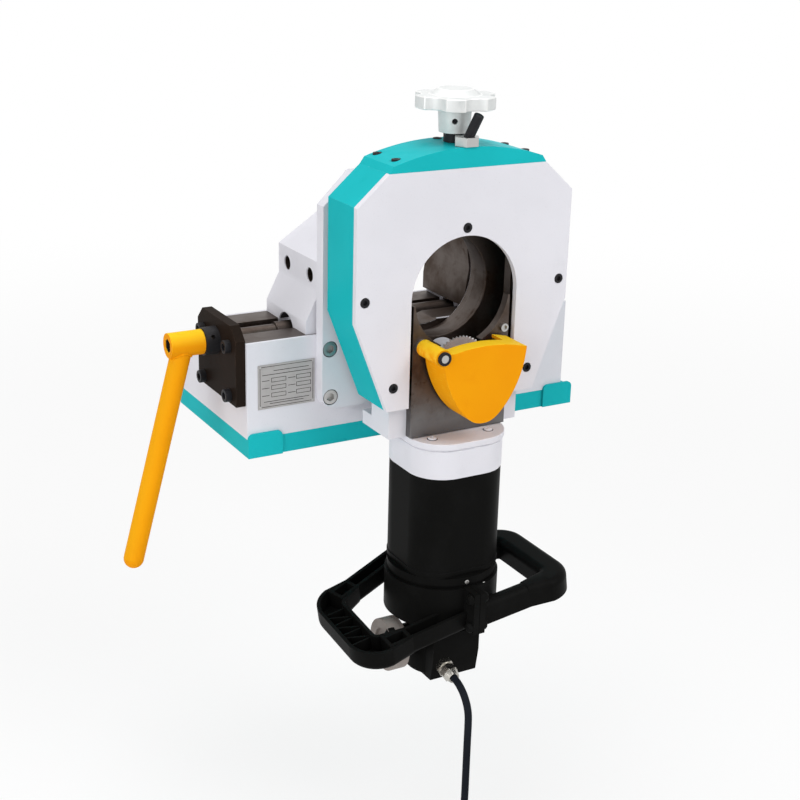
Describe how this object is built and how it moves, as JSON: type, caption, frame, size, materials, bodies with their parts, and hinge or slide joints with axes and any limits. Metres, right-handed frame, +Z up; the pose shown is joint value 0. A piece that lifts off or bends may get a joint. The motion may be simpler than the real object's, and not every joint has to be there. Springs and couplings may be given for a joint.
{
  "type": "orbital pipe cutter",
  "caption": "Bench orbital pipe cutter: a crank-driven self-centring vise holds the pipe while a motor saw head swings around it, feeding its guarded blade by a star knob.",
  "frame": {"origin": "centre of the base plate's bolt pattern, on its underside", "axes": "+Z up, the pipe axis runs along Y, -Y is the front with the saw head, +X to the operator's right"},
  "size_m": [0.5407, 0.6063, 0.851],
  "materials": {
    "teal_paint": "gloss",
    "white_paint": "gloss",
    "orange_paint": "gloss",
    "black_paint": "satin",
    "machined_steel": "machined",
    "bright_steel": "ground",
    "blade_steel": "ground",
    "black_oxide": "oxide",
    "bronze": "machined",
    "cast_aluminium": "cast",
    "plate_aluminium": "brushed",
    "black_plastic": "moulded",
    "selector_grey": "moulded",
    "nickel": "plated",
    "black_rubber": "matte"
  },
  "bodies": {
    "stand_vise": {"base_plate": "teal_paint", "vise_body": "white_paint", "front_rail": "machined_steel", "rear_rail": "machined_steel", "rating_plate": "plate_aluminium", "end_plate": "black_paint", "end_plate_screws": "black_oxide", "left_screw_bush": "bronze", "right_screw_bush": "bronze", "fixed_flange": "white_paint", "flange_screws": "bright_steel", "swing_journal": "machined_steel", "retaining_ring": "machined_steel"},
    "crank": {"vise_screw": "machined_steel", "screw_collar": "black_oxide", "crank_hub": "orange_paint", "crank_arm": "orange_paint"},
    "jaw_left": {"left_jaw": "white_paint", "left_jaw_insert": "machined_steel", "left_jaw_nut": "bronze"},
    "jaw_right": {"right_jaw": "white_paint", "right_jaw_insert": "machined_steel", "right_jaw_nut": "bronze"},
    "head": {"head_shell": "teal_paint", "front_cover": "white_paint", "cover_screws": "black_oxide", "top_cap": "teal_paint", "cap_screws": "black_oxide", "swing_bush": "bronze", "slide_guides": "machined_steel", "clamp_stud": "bright_steel"},
    "feed": {"feed_screw": "bright_steel", "feed_collar": "black_oxide", "knob_hub": "cast_aluminium", "star_knob": "cast_aluminium"},
    "clamp": {"clamp_nut": "bright_steel", "clamp_lever": "black_oxide"},
    "carriage": {"slide_plate": "machined_steel", "slide_frame": "machined_steel", "feed_nut": "bronze", "gear_case": "white_paint", "end_bell": "white_paint", "motor_body": "black_plastic", "motor_tail": "black_plastic", "left_handle": "black_plastic", "right_handle": "black_plastic", "handle_bolts": "bright_steel", "guard_pin": "bright_steel", "guard_stop": "bright_steel", "cable_gland": "nickel", "power_cord": "black_rubber", "cord_coil": "black_rubber", "cord_tie": "black_rubber", "cord_plug": "black_rubber"},
    "saw": {"saw_arbor": "bright_steel", "saw_blade": "blade_steel", "blade_nut": "bright_steel"},
    "drive": {"drive_shaft": "bright_steel"},
    "guard": {"guard": "orange_paint"},
    "selector": {"gear_selector": "selector_grey"}
  },
  "joints": [
    {"name": "head_swing", "type": "hinge", "parent": "stand_vise", "child": "head", "pos_m": [0, -0.15, 0.178], "axis": [0, 1, 0], "range_deg": [-178, 178]},
    {"name": "feed_turn", "type": "hinge", "parent": "head", "child": "feed", "pos_m": [0, -0.151, 0.378], "axis": [0, 0, 1], "range_deg": [-905, 1355]},
    {"name": "clamp_turn", "type": "hinge", "parent": "head", "child": "clamp", "pos_m": [0, -0.176, 0.338], "axis": [0, 0, 1], "range_deg": [-60, 60]},
    {"name": "saw_slide", "type": "slide", "parent": "head", "child": "carriage", "axis": [0, 0, 1], "range_m": [-0.01, 0.015]},
    {"name": "saw_spin", "type": "hinge", "parent": "carriage", "child": "saw", "pos_m": [0, -0.157, 0.1], "axis": [0, 1, 0], "continuous": true},
    {"name": "drive_spin", "type": "hinge", "parent": "carriage", "child": "drive", "pos_m": [0, -0.157, 0.058], "axis": [0, 0, 1], "continuous": true},
    {"name": "guard_swing", "type": "hinge", "parent": "carriage", "child": "guard", "pos_m": [-0.048, -0.2, 0.128], "axis": [0, -1, 0], "range_deg": [0, 100]},
    {"name": "selector_turn", "type": "hinge", "parent": "carriage", "child": "selector", "pos_m": [-0.062, -0.157, -0.228], "axis": [1, 0, 0], "range_deg": [0, 90]},
    {"name": "crank_turn", "type": "hinge", "parent": "stand_vise", "child": "crank", "pos_m": [-0.25, -0.041, 0.1185], "axis": [1, 0, 0], "range_deg": [-720, 2880]},
    {"name": "jaw_left_slide", "type": "slide", "parent": "stand_vise", "child": "jaw_left", "axis": [1, 0, 0], "range_m": [-0.0101, 0.0401]},
    {"name": "jaw_right_slide", "type": "slide", "parent": "stand_vise", "child": "jaw_right", "axis": [-1, 0, 0], "range_m": [-0.0101, 0.0401]}
  ],
  "couplings": [
    {"joint": "feed_turn", "follows": "saw_slide", "rad_per_m": 1570.8},
    {"joint": "jaw_left_slide", "follows": "crank_turn", "m_per_rad": 0.00079577},
    {"joint": "jaw_right_slide", "follows": "crank_turn", "m_per_rad": 0.00079577},
    {"joint": "drive_spin", "follows": "saw_spin", "ratio": 2}
  ]
}
